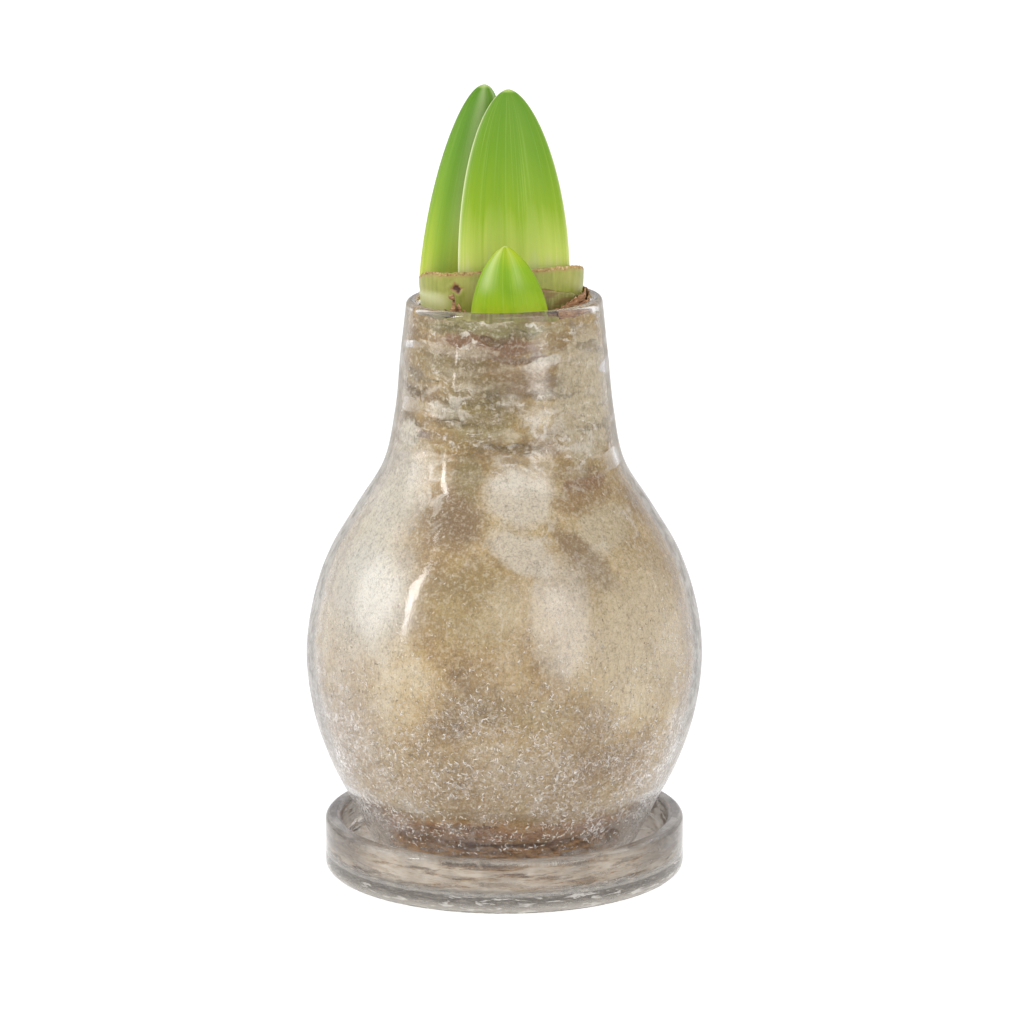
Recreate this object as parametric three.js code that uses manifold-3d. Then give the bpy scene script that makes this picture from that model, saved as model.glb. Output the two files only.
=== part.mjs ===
// An amaryllis bulb in a bulb-shaped glass jar that stands in a glass saucer.
// Millimetres, +Z up. The origin is the middle of the saucer's underside, and -Y is the front.
// The jar is open at both ends. The bulb stands on its root plate on the saucer's floor and nearly fills the jar.
// The neck's cut leaf bases and the green shoots stand on the flat top of the bulb, in the jar's mouth.

import * as THREE from "three";
import { mergeVertices } from "three/addons/utils/BufferGeometryUtils.js";
import Module from "manifold-3d";

const wasm = await Module();
wasm.setup();

// Driving dimensions.
const ROUND_SEGMENTS = 48; // sides of everything that is turned
const SAUCER = {
  radius: 51.9,
  height: 15.6,
  wall: 4.7,
  floor: 5.2,
  footRound: 2,
  lipRound: 1.6,
  innerRound: 2,
};
const JAR = {
  wall: 2.3,
  rimWall: 3.2, // the wall thickens towards the fire-polished rim
  rimFrom: 138,
  rimFull: 162,
  footRound: 0.8,
  steps: 20,
  rimRise: 0.5, // the rim isn't quite level: this much higher than its knot, and as much again on the right
  rimTilt: 0.5,
  // radius and height of the outside, from the foot to the rim
  outside: [
    [36.5, 5.2],
    [43.5, 19],
    [50.4, 32.8],
    [55.1, 47.4],
    [57.0, 62.8],
    [55.2, 78.1],
    [50.4, 92.7],
    [42.6, 106],
    [34.5, 119.3],
    [31.2, 134.3],
    [29.6, 149.6],
    [27.9, 164.9],
  ],
};
const BULB = {
  bellyGap: 0.9, // between the bulb's skin and the glass
  neckGap: 0.6,
  shoulder: 29, // below this height the underside leaves the glass
  underside: [
    [17, 13],
    [26, 14],
    [34.5, 17],
    [41, 22.5],
  ],
  top: 161.5,
  topRound: 0.4,
  neckFrom: 110,
  ringPitch: { belly: 7, neck: 2.1 },
  steps: 300,
  wrinkle: 0.9, // depth of the wrinkles round the neck
  wrinklePitch: 6.6,
  wrinkleFrom: 116,
  lobe: 0.25, // how far the belly is out of round
};
const ROOTS = {
  count: 36,
  plateRadius: 16,
  plateTop: BULB.underside[0][1],
  thickness: 2.3,
  reach: [25, 31.5], // of the roots that lie on the saucer's floor
  reachHigh: [31, 35], // of those between them, which follow the bulb's underside out to the glass
  low: 1.6, // lowest end of a centre line above the saucer's floor
  climb: 6.8,
  high: 6.3,
  sides: 5,
  steps: 5,
};
const COLLAR = {
  centre: [-0.8, 3.4],
  halfWidth: 23.4,
  halfDepth: 16.8,
  squareness: 0.92, // 1 gives an ellipse, less gives fuller corners
  flare: 0.75, // how much narrower the foot is than the cut edge
  wall: 0.7,
  wallFront: 1.8,
  top: 176.3, // of the cut edge, at the front
  tilt: 0.05, // how much the cut edge rises for each millimetre to the right
  drop: 6, // how much lower the cut edge is at the back
  dropFrom: -8, // the Y where it begins to fall and where it ends
  dropTo: 14,
  unevenness: 0.25,
};

// Shoots: a flattened spear whose two halves meet in a seam at each narrow edge.
// Its foot is narrowed to the share waist by the leaf bases round it, and it leans from foot to tip.
const FOOT = {
  narrow: 9.4, // height above the bulb's top up to which a shoot is held in
  full: 12.6, // and the height from which it has its full width
};
const LEAN = 1.3; // above 1, a shoot leans more towards its tip
const SHOOTS = {
  shoot_main: {
    foot: [2.75, -4.1],
    tip: [1.1, -3.2],
    top: 226.4,
    half: [15.9, 5.1],
    turn: 8,
    start: 174,
    blunt: 0.585,
    waist: 1,
  },
  shoot_left: {
    foot: [-12.7, 6.6],
    tip: [-5.6, 6.0],
    top: 226.6,
    half: [8, 11.7],
    turn: 90,
    start: 168,
    blunt: 0.51,
    waist: 0.78,
  },
  shoot_front: {
    foot: [1.7, -18.5],
    tip: [0.3, -18.2],
    top: 184.4,
    half: [11.2, 4.1],
    turn: 0,
    start: 160,
    blunt: 0.68,
    waist: 1,
  },
};

// Cut and dried scales of the neck, each an upright arc round its own centre.
// Angles are in degrees from +X, and the top runs from the first height to the second.
const SCALES = {
  outer_scale: {
    centre: [-0.8, 3.4],
    radius: 24.6,
    squash: 0.74,
    wall: 1.2,
    angles: [-60, -21],
    top: [171.6, 168],
    ragged: 0.3,
  },
  dry_scale_right: {
    centre: [0.1, 0],
    radius: 23.8,
    squash: 1,
    wall: 0.8,
    angles: [-53, 58],
    top: [167, 170],
    ragged: 0.9,
  },
  dry_scale_left: {
    centre: [0, 0],
    radius: 21,
    squash: 1,
    wall: 0.8,
    angles: [225, 240],
    top: [170, 167.4],
    ragged: 1.2,
  },
  front_scale: {
    centre: [0, 0],
    radius: 24,
    squash: 1,
    wall: 0.6,
    angles: [-125, -58],
    top: [165.2, 165.6],
    ragged: 0.4,
  },
};

const FINISH = {
  glass: { color: 0xd9d6cf, roughness: 0.08, metalness: 0, transparent: true, opacity: 0.35 },
  tunic: { color: 0xb79b6c, roughness: 0.6, metalness: 0 },
  roots: { color: 0x7a5433, roughness: 0.9, metalness: 0 },
  cutGreen: { color: 0xa9b85a, roughness: 0.5, metalness: 0 },
  dryScale: { color: 0x9a7650, roughness: 0.8, metalness: 0 },
  shoot: { color: 0x86b52b, roughness: 0.35, metalness: 0 },
};

const part = new THREE.Group();

function addMesh(name, geometry, finish) {
  const mesh = new THREE.Mesh(geometry, new THREE.MeshStandardMaterial(FINISH[finish]));
  mesh.name = name;
  part.add(mesh);
}

const radians = THREE.MathUtils.degToRad;
const radiansToDegrees = THREE.MathUtils.radToDeg;

// The same numbers each run, from 0 to 1.
function randomSource(seed) {
  let state = seed;
  return () => {
    state = (state * 1664525 + 1013904223) % 4294967296;
    return state / 4294967296;
  };
}

// Turns an outline of [radius, height] points round +Z.
function turned(outline, segments = ROUND_SEGMENTS) {
  const points = outline.map(([radius, height]) => new THREE.Vector2(radius, height));
  return new THREE.LatheGeometry(points, segments).rotateX(Math.PI / 2);
}

// Moves each vertex of a turned shape: move takes its angle, radius and height and returns [x, y, z].
function reshaped(geometry, move) {
  const position = geometry.getAttribute("position");
  for (let i = 0; i < position.count; i++) {
    const x = position.getX(i);
    const y = position.getY(i);
    position.setXYZ(i, ...move(Math.atan2(y, x), Math.hypot(x, y), position.getZ(i)));
  }
  return geometry;
}

// Points of an outline along an arc round [radius, height], from one angle in degrees to another.
function arc(radius, height, size, from, to, steps = 3) {
  return Array.from({ length: steps + 1 }, (_, i) => {
    const angle = radians(from + ((to - from) * i) / steps);
    return [radius + size * Math.cos(angle), height + size * Math.sin(angle)];
  });
}

function solidOf(geometry) {
  const bare = geometry.clone();
  bare.deleteAttribute("normal");
  bare.deleteAttribute("uv");
  const merged = mergeVertices(bare, 1e-4);
  const vertProperties = merged.getAttribute("position").array;
  const triVerts = new Uint32Array(merged.index.array);
  return new wasm.Manifold(new wasm.Mesh({ numProp: 3, vertProperties, triVerts }));
}

function geometryOf(solid) {
  const { vertProperties, triVerts } = solid.getMesh();
  const geometry = new THREE.BufferGeometry();
  geometry.setAttribute("position", new THREE.BufferAttribute(vertProperties, 3));
  geometry.setIndex(new THREE.BufferAttribute(triVerts, 1));
  return geometry;
}

// A dish of pressed glass with a thick floor, a straight wall and a rounded lip.
function saucer() {
  const { radius, height, wall, floor, footRound, lipRound, innerRound } = SAUCER;
  const inside = radius - wall;
  return turned([
    [0, 0],
    ...arc(radius - footRound, footRound, footRound, -90, 0),
    ...arc(radius - lipRound, height - lipRound, lipRound, 0, 90),
    ...arc(inside + lipRound, height - lipRound, lipRound, 90, 180),
    ...arc(inside - innerRound, floor + innerRound, innerRound, 0, -90),
    [0, floor],
  ]);
}

// Points along the jar's outside, moved inwards along the surface's normal by the depth at their height.
function jarCurve(depthAt, steps) {
  const curve = new THREE.SplineCurve(JAR.outside.map(([radius, height]) => new THREE.Vector2(radius, height)));
  return Array.from({ length: steps + 1 }, (_, i) => {
    const point = curve.getPointAt(i / steps);
    const tangent = curve.getTangentAt(i / steps);
    const depth = depthAt(point.y);
    return [point.x - depth * tangent.y, point.y + depth * tangent.x];
  });
}

function wallAt(height) {
  return THREE.MathUtils.lerp(JAR.wall, JAR.rimWall, THREE.MathUtils.smoothstep(height, JAR.rimFrom, JAR.rimFull));
}

// The glass jar: a wall that follows the bulb, open at the foot and at the rim.
function glassJar() {
  const { wall, rimWall, footRound, steps } = JAR;
  const foot = SAUCER.floor;
  const outer = jarCurve(() => 0, steps).slice(1);
  const inner = jarCurve(wallAt, steps).slice(1);
  const [rimOuter, rimInner] = [outer.at(-1), inner.at(-1)];
  const rimCentre = [(rimOuter[0] + rimInner[0]) / 2, (rimOuter[1] + rimInner[1]) / 2];
  const footOuter = JAR.outside[0][0];
  const jar = turned([
    [footOuter - wall + footRound, foot],
    [footOuter - footRound, foot],
    [footOuter, foot + footRound],
    ...outer,
    ...arc(...rimCentre, rimWall / 2, 45, 135, 2),
    ...inner.reverse(),
    [footOuter - wall, foot + footRound],
    [footOuter - wall + footRound, foot],
  ]);
  return reshaped(jar, (angle, radius, height) => {
    const uneven = THREE.MathUtils.smoothstep(height, 148, 166) * (JAR.rimRise + JAR.rimTilt * Math.cos(angle));
    return [radius * Math.cos(angle), radius * Math.sin(angle), height + uneven];
  });
}

// How far the bulb's skin stands out at an angle and a height: a belly a little out of round, and wrinkles
// round the neck that only cut inwards.
function bulbRelief(angle, height) {
  const neck = THREE.MathUtils.smoothstep(height, BULB.wrinkleFrom, BULB.wrinkleFrom + 14);
  const top = 1 - THREE.MathUtils.smoothstep(height, BULB.top - 7, BULB.top - 2);
  const sway = 1.3 * Math.sin(2 * angle + 0.6) + 0.7 * Math.sin(5 * angle);
  const phase = (2 * Math.PI * height) / BULB.wrinklePitch + sway;
  const belly = 0.6 * Math.cos(3 * angle + 0.8) + 0.4 * Math.cos(7 * angle + height / 30);
  return 0.5 * BULB.wrinkle * neck * top * (Math.sin(phase) - 1) + BULB.lobe * (1 - neck) * belly;
}

// The bulb: a flat base, a round belly and a long neck that follow the inside of the jar.
function bulb() {
  const { bellyGap, neckGap, shoulder, neckFrom, ringPitch, underside, top, topRound } = BULB;
  const gapAt = (height) => {
    const neck = THREE.MathUtils.smoothstep(height, neckFrom, top);
    return THREE.MathUtils.lerp(bellyGap, neckGap, neck);
  };
  const skin = jarCurve((height) => wallAt(height) + gapAt(height), BULB.steps);
  const side = [];
  for (const point of skin) {
    const spacing = point[1] < neckFrom ? ringPitch.belly : ringPitch.neck;
    const previous = side.at(-1)?.[1] ?? shoulder - spacing;
    if (point[1] - previous >= spacing && point[1] < top - 1.5) side.push(point);
  }
  const below = new THREE.SplineCurve([...underside, side[0]].map((p) => new THREE.Vector2(...p)));
  const mouthRadius = skin.find(([, height]) => height >= top - topRound)[0];
  const outline = [
    [0, underside[0][1]],
    ...below.getPoints(7).map((p) => [p.x, p.y]),
    ...side.slice(1),
    ...arc(mouthRadius - topRound, top - topRound, topRound, 0, 90, 2),
    [0, top],
  ];
  return reshaped(turned(outline), (angle, radius, height) => {
    const flat = height < underside[0][1] + 0.1 || height > top - topRound - 0.1;
    const grown = flat ? radius : radius + bulbRelief(angle, height);
    return [grown * Math.cos(angle), grown * Math.sin(angle), height];
  });
}

// The basal plate with a tuft of dead roots that spread over the saucer's floor.
function rootPlate() {
  const random = randomSource(7);
  const { plateRadius, plateTop, thickness, sides, steps } = ROOTS;
  const floor = SAUCER.floor;
  let tuft = solidOf(
    turned(
      [
        [0, floor],
        [plateRadius - 3, floor],
        [plateRadius, floor + 3],
        [plateRadius - 0.5, plateTop],
        [0, plateTop],
      ],
      24,
    ),
  );
  for (let i = 0; i < ROOTS.count; i++) {
    const angle = (2 * Math.PI * (i + 0.5 * random())) / ROOTS.count;
    const bend = 0.5 * (random() - 0.5);
    const climbs = i % 2 === 1;
    const reach = THREE.MathUtils.lerp(...(climbs ? ROOTS.reachHigh : ROOTS.reach), random());
    const end = floor + (climbs ? ROOTS.climb : ROOTS.low) + random();
    const high = floor + (climbs ? ROOTS.high : 3.4);
    const path = new THREE.CatmullRomCurve3(
      [
        [plateRadius - 5, floor + 4.2, 0],
        [plateRadius + 2, high, 0.2 * bend],
        [(plateRadius + reach) / 2, (high + end) / 2, bend],
        [reach, end + 1.2 * random(), 1.6 * bend],
      ].map(([radius, height, turn]) => {
        return new THREE.Vector3(radius * Math.cos(angle + turn), radius * Math.sin(angle + turn), height);
      }),
    );
    const half = (thickness * (0.75 + 0.25 * random())) / 2;
    const section = new THREE.Shape(
      Array.from({ length: sides }, (_, k) => {
        const corner = (2 * Math.PI * k) / sides;
        return new THREE.Vector2(half * Math.cos(corner), half * Math.sin(corner));
      }),
    );
    tuft = tuft.add(solidOf(new THREE.ExtrudeGeometry(section, { steps, extrudePath: path, bevelEnabled: false })));
  }
  return geometryOf(tuft);
}

// The ring of green leaf bases, cut off at a slant that is lowest at the back, with an uneven dried edge.
function neckCollar() {
  const { centre, halfWidth, halfDepth, squareness, flare, wall, wallFront, top, tilt } = COLLAR;
  const fuller = (value) => Math.sign(value) * Math.abs(value) ** squareness;
  const [inside, outside] = [1, 2];
  const ring = turned([
    [outside, BULB.top],
    [outside, BULB.top + 6],
    [outside, top],
    [inside, top],
    [inside, BULB.top + 6],
    [inside, BULB.top],
    [outside, BULB.top],
  ]);
  return reshaped(ring, (angle, radius, height) => {
    const thickness = THREE.MathUtils.lerp(wallFront, wall, Math.abs(Math.cos(angle)));
    const narrower = flare * (1 - THREE.MathUtils.smoothstep(height, BULB.top, top));
    const inset = narrower + (radius > 1.5 ? 0 : thickness);
    const x = centre[0] + (halfWidth - inset) * fuller(Math.cos(angle));
    const y = centre[1] + (halfDepth - inset) * fuller(Math.sin(angle));
    const fall = COLLAR.drop * THREE.MathUtils.smoothstep(y, COLLAR.dropFrom, COLLAR.dropTo);
    const rise = tilt * x - fall + COLLAR.unevenness * Math.sin(3 * angle);
    return [x, y, height > top - 1 ? height + rise : height];
  });
}

// A shoot stands on the bulb's top and narrows to a blunt point.
function shoot({ foot, tip, top, half, turn, start, blunt, waist }) {
  const rings = 18;
  const alongAt = (height) => Math.max(0, (height - start) / (top - start));
  const widthAt = (height) => (1 - alongAt(height) ** 2) ** blunt;
  const outline = [
    [0, BULB.top],
    [waist, BULB.top],
    [waist * widthAt(BULB.top + FOOT.narrow), BULB.top + FOOT.narrow],
  ];
  for (let i = 0; i < rings; i++) {
    const height = THREE.MathUtils.lerp(BULB.top + FOOT.full, top, Math.sin((Math.PI / 2) * (i / rings)));
    outline.push([widthAt(height), height]);
  }
  outline.push([0, top]);
  const [cos, sin] = [Math.cos(radians(turn)), Math.sin(radians(turn))];
  return reshaped(turned(outline, 20), (angle, radius, height) => {
    const lean = alongAt(height) ** LEAN;
    const across = half[0] * radius * Math.cos(angle);
    const through = half[1] * radius * Math.sin(angle) * Math.abs(Math.sin(angle)) ** 0.2;
    const x = THREE.MathUtils.lerp(foot[0], tip[0], lean) + across * cos - through * sin;
    const y = THREE.MathUtils.lerp(foot[1], tip[1], lean) + across * sin + through * cos;
    return [x, y, height];
  });
}

// A scale: a thin upright arc that stands on the bulb's top and ends in a ragged edge.
function scale({ centre, radius, squash, wall, angles: [from, to], top, ragged }) {
  const shape = new THREE.Shape();
  shape.absarc(0, 0, radius + wall / 2, radians(from), radians(to), false);
  shape.absarc(0, 0, radius - wall / 2, radians(to), radians(from), true);
  const curveSegments = Math.max(6, Math.round((to - from) / 5));
  const geometry = new THREE.ExtrudeGeometry(shape, { depth: 1, steps: 2, bevelEnabled: false, curveSegments });
  return reshaped(geometry, (angle, reach, level) => {
    const along = (((radiansToDegrees(angle) - from + 540) % 360) - 180) / (to - from);
    const torn = ragged * (Math.sin(9 * angle + radius) + 0.6 * Math.sin(23 * angle) - 0.8);
    const height = THREE.MathUtils.lerp(...top, along) + torn - BULB.top;
    const x = centre[0] + reach * Math.cos(angle);
    const y = centre[1] + reach * squash * Math.sin(angle);
    return [x, y, BULB.top + level * height];
  });
}

addMesh("saucer", saucer(), "glass");
addMesh("glass_jar", glassJar(), "glass");
addMesh("bulb", bulb(), "tunic");
addMesh("root_plate", rootPlate(), "roots");
addMesh("neck_collar", neckCollar(), "cutGreen");
for (const [name, sizes] of Object.entries(SHOOTS)) addMesh(name, shoot(sizes), "shoot");
for (const [name, sizes] of Object.entries(SCALES)) {
  addMesh(name, scale(sizes), name.startsWith("dry") ? "dryScale" : "cutGreen");
}

export default part;
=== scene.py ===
import math
import random

import bmesh
import bpy
from mathutils import Matrix, Vector, noise


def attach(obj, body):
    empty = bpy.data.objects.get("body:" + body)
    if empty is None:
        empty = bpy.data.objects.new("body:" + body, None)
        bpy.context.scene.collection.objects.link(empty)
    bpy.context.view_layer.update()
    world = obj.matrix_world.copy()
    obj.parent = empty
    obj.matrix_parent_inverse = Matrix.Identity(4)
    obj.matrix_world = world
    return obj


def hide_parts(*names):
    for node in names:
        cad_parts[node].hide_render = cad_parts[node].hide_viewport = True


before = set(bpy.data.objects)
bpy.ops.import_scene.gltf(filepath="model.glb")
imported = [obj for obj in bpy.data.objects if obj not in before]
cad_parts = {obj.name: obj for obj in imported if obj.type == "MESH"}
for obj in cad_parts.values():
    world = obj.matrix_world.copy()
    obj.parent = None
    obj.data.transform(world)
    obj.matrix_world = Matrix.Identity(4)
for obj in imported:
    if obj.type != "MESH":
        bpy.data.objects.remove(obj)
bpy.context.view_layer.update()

mm = 0.001
# lengths below are in millimetres, +Z up, -Y to the front; angles are in degrees from +X


def colour(code):
    # "#rrggbb" as a linear colour
    parts = [int(code[i : i + 2], 16) / 255 for i in (1, 3, 5)]
    return [*(((c + 0.055) / 1.055) ** 2.4 if c > 0.04045 else c / 12.92 for c in parts), 1]


def smoothStep(value, low, high):
    t = min(1, max(0, (value - low) / (high - low)))
    return t * t * (3 - 2 * t)


def mix(a, b, share):
    return a + (b - a) * share


class Wire:
    # one output of a node, on which plain arithmetic adds Math nodes

    def __init__(self, nodes, output):
        self.nodes = nodes
        self.output = output

    def maths(self, operation, first, second=None):
        return self.nodes.node("Math", {"operation": operation}, (first, second))

    def __add__(self, other):
        return self.maths("ADD", self, other)

    def __sub__(self, other):
        return self.maths("SUBTRACT", self, other)

    def __rsub__(self, other):
        return self.maths("SUBTRACT", other, self)

    def __mul__(self, other):
        return self.maths("MULTIPLY", self, other)

    def __truediv__(self, other):
        return self.maths("DIVIDE", self, other)

    def __abs__(self):
        return self.maths("ABSOLUTE", self)

    def most(self, other):
        return self.maths("MAXIMUM", self, other)

    def least(self, other):
        return self.maths("MINIMUM", self, other)

    __radd__ = __add__
    __rmul__ = __mul__


class Nodes:
    # adds nodes to a tree

    def __init__(self, tree):
        self.tree = tree

    def node(self, kind, settings, values=(), output=0):
        # settings first, then the sockets, by place in a tuple or by name in a dictionary
        made = self.tree.nodes.new("ShaderNode" + kind)
        for key, value in settings.items():
            if key == "stops":
                self.setStops(made.color_ramp, value)
            else:
                setattr(made, key, value)
        pairs = values.items() if isinstance(values, dict) else enumerate(values)
        for key, value in pairs:
            if isinstance(value, Wire):
                self.tree.links.new(value.output, made.inputs[key])
            elif value is not None:
                made.inputs[key].default_value = value
        return Wire(self, made.outputs[output])

    def setStops(self, ramp, stops):
        while len(ramp.elements) < len(stops):
            ramp.elements.new(0.5)
        for element, (place, shade) in zip(ramp.elements, stops):
            element.position = place
            element.color = colour(shade)

    def vectorMaths(self, operation, values, output="Vector"):
        return self.node("VectorMath", {"operation": operation}, values, output)

    def ramp(self, value, low, high, start=0.0, end=1.0):
        sockets = {"Value": value, "From Min": low, "From Max": high}
        sockets.update({"To Min": start, "To Max": end})
        return self.node("MapRange", {"interpolation_type": "SMOOTHSTEP"}, sockets)

    def shades(self, value, stops):
        return self.node("ValToRGB", {"stops": stops}, {"Fac": value})

    def feed(self, wire, node, socket):
        self.tree.links.new(wire.output, node.inputs[socket])


class Finish(Nodes):
    # a material and the nodes that it is made of

    def __init__(self, name):
        self.material = bpy.data.materials.new(name)
        self.material.use_nodes = True
        super().__init__(self.material.node_tree)
        self.tree.nodes.clear()
        self.coords = self.node("TexCoord", {}, (), "Object")

    def stretched(self, scale, vector=None):
        return self.node("Mapping", {}, {"Vector": vector or self.coords, "Scale": scale})

    def noise(self, size, detail=2, rough=0.5, warp=0.0, vector=None, output="Fac", unit=mm):
        # size is the length of one wave in millimetres
        sockets = {"Vector": vector or self.coords, "Scale": 1 / (size * unit), "Detail": detail}
        sockets.update({"Roughness": rough, "Distortion": warp})
        return self.node("TexNoise", {}, sockets, output)

    def warped(self, size, reach, detail=3):
        # object coordinates, pushed about by up to half of reach
        push = self.noise(size, detail, 0.62, output="Color")
        centred = self.vectorMaths("SUBTRACT", (push, (0.5, 0.5, 0.5)))
        scaled = self.vectorMaths("SCALE", {0: centred, "Scale": reach * mm})
        return self.vectorMaths("ADD", (self.coords, scaled))

    def line(self, value, wide):
        # 1 along the lines where a noise crosses its middle
        return self.ramp(abs(value - 0.5), 0.0, wide, 1.0, 0.0)

    def blend(self, share, first, second):
        ends = [colour(end) if isinstance(end, str) else end for end in (first, second)]
        return self.node("Mix", {"data_type": "RGBA"}, {0: share, 6: ends[0], 7: ends[1]}, 2)

    def layered(self, shade, *layers):
        # each layer is a share and the shade that covers the ones before it
        for share, over in layers:
            shade = self.blend(share, shade, over)
        return shade

    def height(self, vector=None, axis="Z"):
        # in millimetres, or the place along another axis
        return self.node("SeparateXYZ", {}, (vector or self.coords,), axis) / mm

    def attribute(self, name, output="Fac"):
        return self.node("Attribute", {"attribute_name": name}, (), output)

    def bump(self, height, depth, under=None):
        # depth is how far, in millimetres, a height of one stands out
        return self.node("Bump", {}, {"Height": height, "Distance": depth * mm, "Normal": under})

    def mark(self, place, radii, turn, soft, vector):
        # 1 inside an ellipsoid round place, falling to 0 over the share soft of its size
        sockets = {"Vector": vector, "Location": Vector(place) * mm}
        sockets.update({"Rotation": (0, math.radians(turn), 0), "Scale": Vector(radii) * mm})
        inside = self.node("Mapping", {"vector_type": "TEXTURE"}, sockets)
        far = self.vectorMaths("LENGTH", (inside,), "Value")
        return self.ramp(far, 1 - soft, 1 + soft, 1.0, 0.0)

    def surface(self, sockets):
        values = {key: colour(v) if isinstance(v, str) else v for key, v in sockets.items()}
        return self.node("BsdfPrincipled", {}, values)

    def glass(self, shade, normal, share=0.0, film=None):
        # clear, with a film over a share of it; lamps shine through, so that what it holds is lit
        body = self.surface({
            "Base Color": shade,
            "Roughness": 0.0,
            "IOR": 1.5,
            "Transmission Weight": 1.0,
            "Normal": normal,
        })
        if film:
            body = self.node("MixShader", {}, (share, body, film))
        through = self.node("BsdfTransparent", {}, {"Color": (1, 1, 1, 1)})
        shadow = self.node("LightPath", {}, (), "Is Shadow Ray")
        return self.node("MixShader", {}, (shadow, body, through))

    def done(self, shader):
        self.feed(shader, self.tree.nodes.new("ShaderNodeOutputMaterial"), "Surface")
        return self.material


def smoothLine(points, count):
    # count + 1 points at even steps along a smooth curve through points
    knots = [Vector(p) for p in points]
    knots = [knots[0], *knots, knots[-1]]
    fine = []
    stepsPerSpan = 40
    for before, a, b, after in zip(knots, knots[1:], knots[2:], knots[3:]):
        leave, arrive = (b - before) / 2, (after - a) / 2
        for k in range(stepsPerSpan):
            t = k / stepsPerSpan
            fine.append((2 * a - 2 * b + leave + arrive) * t**3
                        + (3 * b - 3 * a - 2 * leave - arrive) * t**2 + leave * t + a)
    fine.append(knots[-1])
    run = [0.0]
    for a, b in zip(fine, fine[1:]):
        run.append(run[-1] + (b - a).length)
    line = []
    at = 0
    for i in range(count + 1):
        goal = run[-1] * i / count
        while at < len(run) - 2 and run[at + 1] < goal:
            at += 1
        share = (goal - run[at]) / max(1e-9, run[at + 1] - run[at])
        line.append(fine[at].lerp(fine[at + 1], share))
    return line


def arcPoints(radius, height, size, start, end, steps=8):
    angles = [math.radians(mix(start, end, i / steps)) for i in range(steps + 1)]
    return [(radius + size * math.cos(a), height + size * math.sin(a)) for a in angles]


def spun(outline, steps, closed=False):
    # turns an outline of (radius, height) points round +Z
    bm = bmesh.new()
    ring = [bm.verts.new((radius * mm, 0, height * mm)) for radius, height in outline]
    pairs = list(zip(ring, ring[1:])) + ([(ring[-1], ring[0])] if closed else [])
    edges = [bm.edges.new(pair) for pair in pairs]
    bmesh.ops.spin(bm, geom=ring + edges, cent=(0, 0, 0), axis=(0, 0, 1), dvec=(0, 0, 0),
                   angle=2 * math.pi, steps=steps, use_merge=True, use_duplicate=False)
    bmesh.ops.remove_doubles(bm, verts=bm.verts, dist=1e-6)
    faceOutwards(bm)
    return bm


def polar(angle, radius, height):
    return Vector((radius * math.cos(angle), radius * math.sin(angle), height))


def polarOf(v):
    # a vertex's angle, radius and height
    x, y, z = v.co / mm
    return math.atan2(y, x), math.hypot(x, y), z


def reshape(bm, move):
    # move takes an angle, radius and height and returns the new place
    for v in bm.verts:
        v.co = move(*polarOf(v)) * mm


def faceOutwards(bm):
    bmesh.ops.recalc_face_normals(bm, faces=bm.faces)


def ripple(point, size, seed=0.0):
    # smooth noise from about -1 to 1 with waves of size millimetres
    return noise.noise(Vector(point) / size + Vector((seed, 2 * seed, -seed)))


def strand(bm, line, radii, sides):
    # a closed tube along a line of points
    way = line[1] - line[0]
    start = Matrix.LocRotScale(line[0] * mm, way.to_track_quat("Z", "X"), None)
    made = bmesh.ops.create_circle(
        bm, cap_ends=True, segments=sides, radius=radii[0] * mm, matrix=start
    )
    face = made["verts"][0].link_faces[0]
    for i in range(1, len(line)):
        geom = bmesh.ops.extrude_face_region(bm, geom=[face])["geom"]
        ahead = line[min(i + 1, len(line) - 1)] - line[i - 1]
        turn = way.rotation_difference(ahead)
        way = ahead
        for v in geom:
            if isinstance(v, bmesh.types.BMVert):
                v.co = line[i] * mm + turn @ (v.co - line[i - 1] * mm) * (radii[i] / radii[i - 1])
        face = next(f for f in geom if isinstance(f, bmesh.types.BMFace))


def meshOf(bm, name):
    mesh = bpy.data.meshes.new(name)
    bm.to_mesh(mesh)
    bm.free()
    return mesh


def makePiece(name, bm, materials, slot, *nodes):
    for face in bm.faces:
        face.smooth = True
    mesh = meshOf(bm, name)
    for material in materials:
        mesh.materials.append(material)
    piece = bpy.data.objects.new(name, mesh)
    bpy.context.scene.collection.objects.link(piece)
    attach(piece, "root")
    if nodes:
        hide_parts(*nodes)
    print("made", name, "with", len(mesh.polygons), "faces")
    return piece


# camera, light and floor

view = dict(place=(2.2, -1312, 394), down=12.447, lens=164.95)
room = dict(
    aimHeight=0.1,  # of the point that the lamps face; metres, as for the lamps and the floor
    floorSize=16,
    floorShade="#7c7c7c",
    floorGlow=0.94,
    skyUp="#ffffff",
    skyLevel="#e6e6ea",
    skyStrength=0.95,
    bounces=28,
)
# azimuth is from the front towards the right and elevation is above the floor
lamps = dict(
    strip=dict(azimuth=-61, elevation=24.5, far=1.15, size=(0.13, 0.9), glow=14),
    leftBox=dict(azimuth=-88, elevation=17, far=1.3, size=(1.1, 0.95), glow=2.7),
    keyBox=dict(azimuth=39, elevation=14, far=1.6, size=(0.95, 1.85), glow=2.6),
    frontBox=dict(azimuth=12, elevation=28, far=2.0, size=(2.4, 1.6), glow=1.7),
    backBox=dict(azimuth=150, elevation=38, far=1.6, size=(0.8, 0.8), glow=0.9),
)


def makeCamera():
    data = bpy.data.cameras.new("camera")
    data.lens = view["lens"]
    data.sensor_width = 36
    data.clip_start = 0.05
    camera = bpy.data.objects.new("camera", data)
    camera.location = Vector(view["place"]) * mm
    camera.rotation_euler = (math.radians(90 - view["down"]), 0, 0)
    bpy.context.scene.collection.objects.link(camera)
    bpy.context.scene.camera = camera


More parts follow.
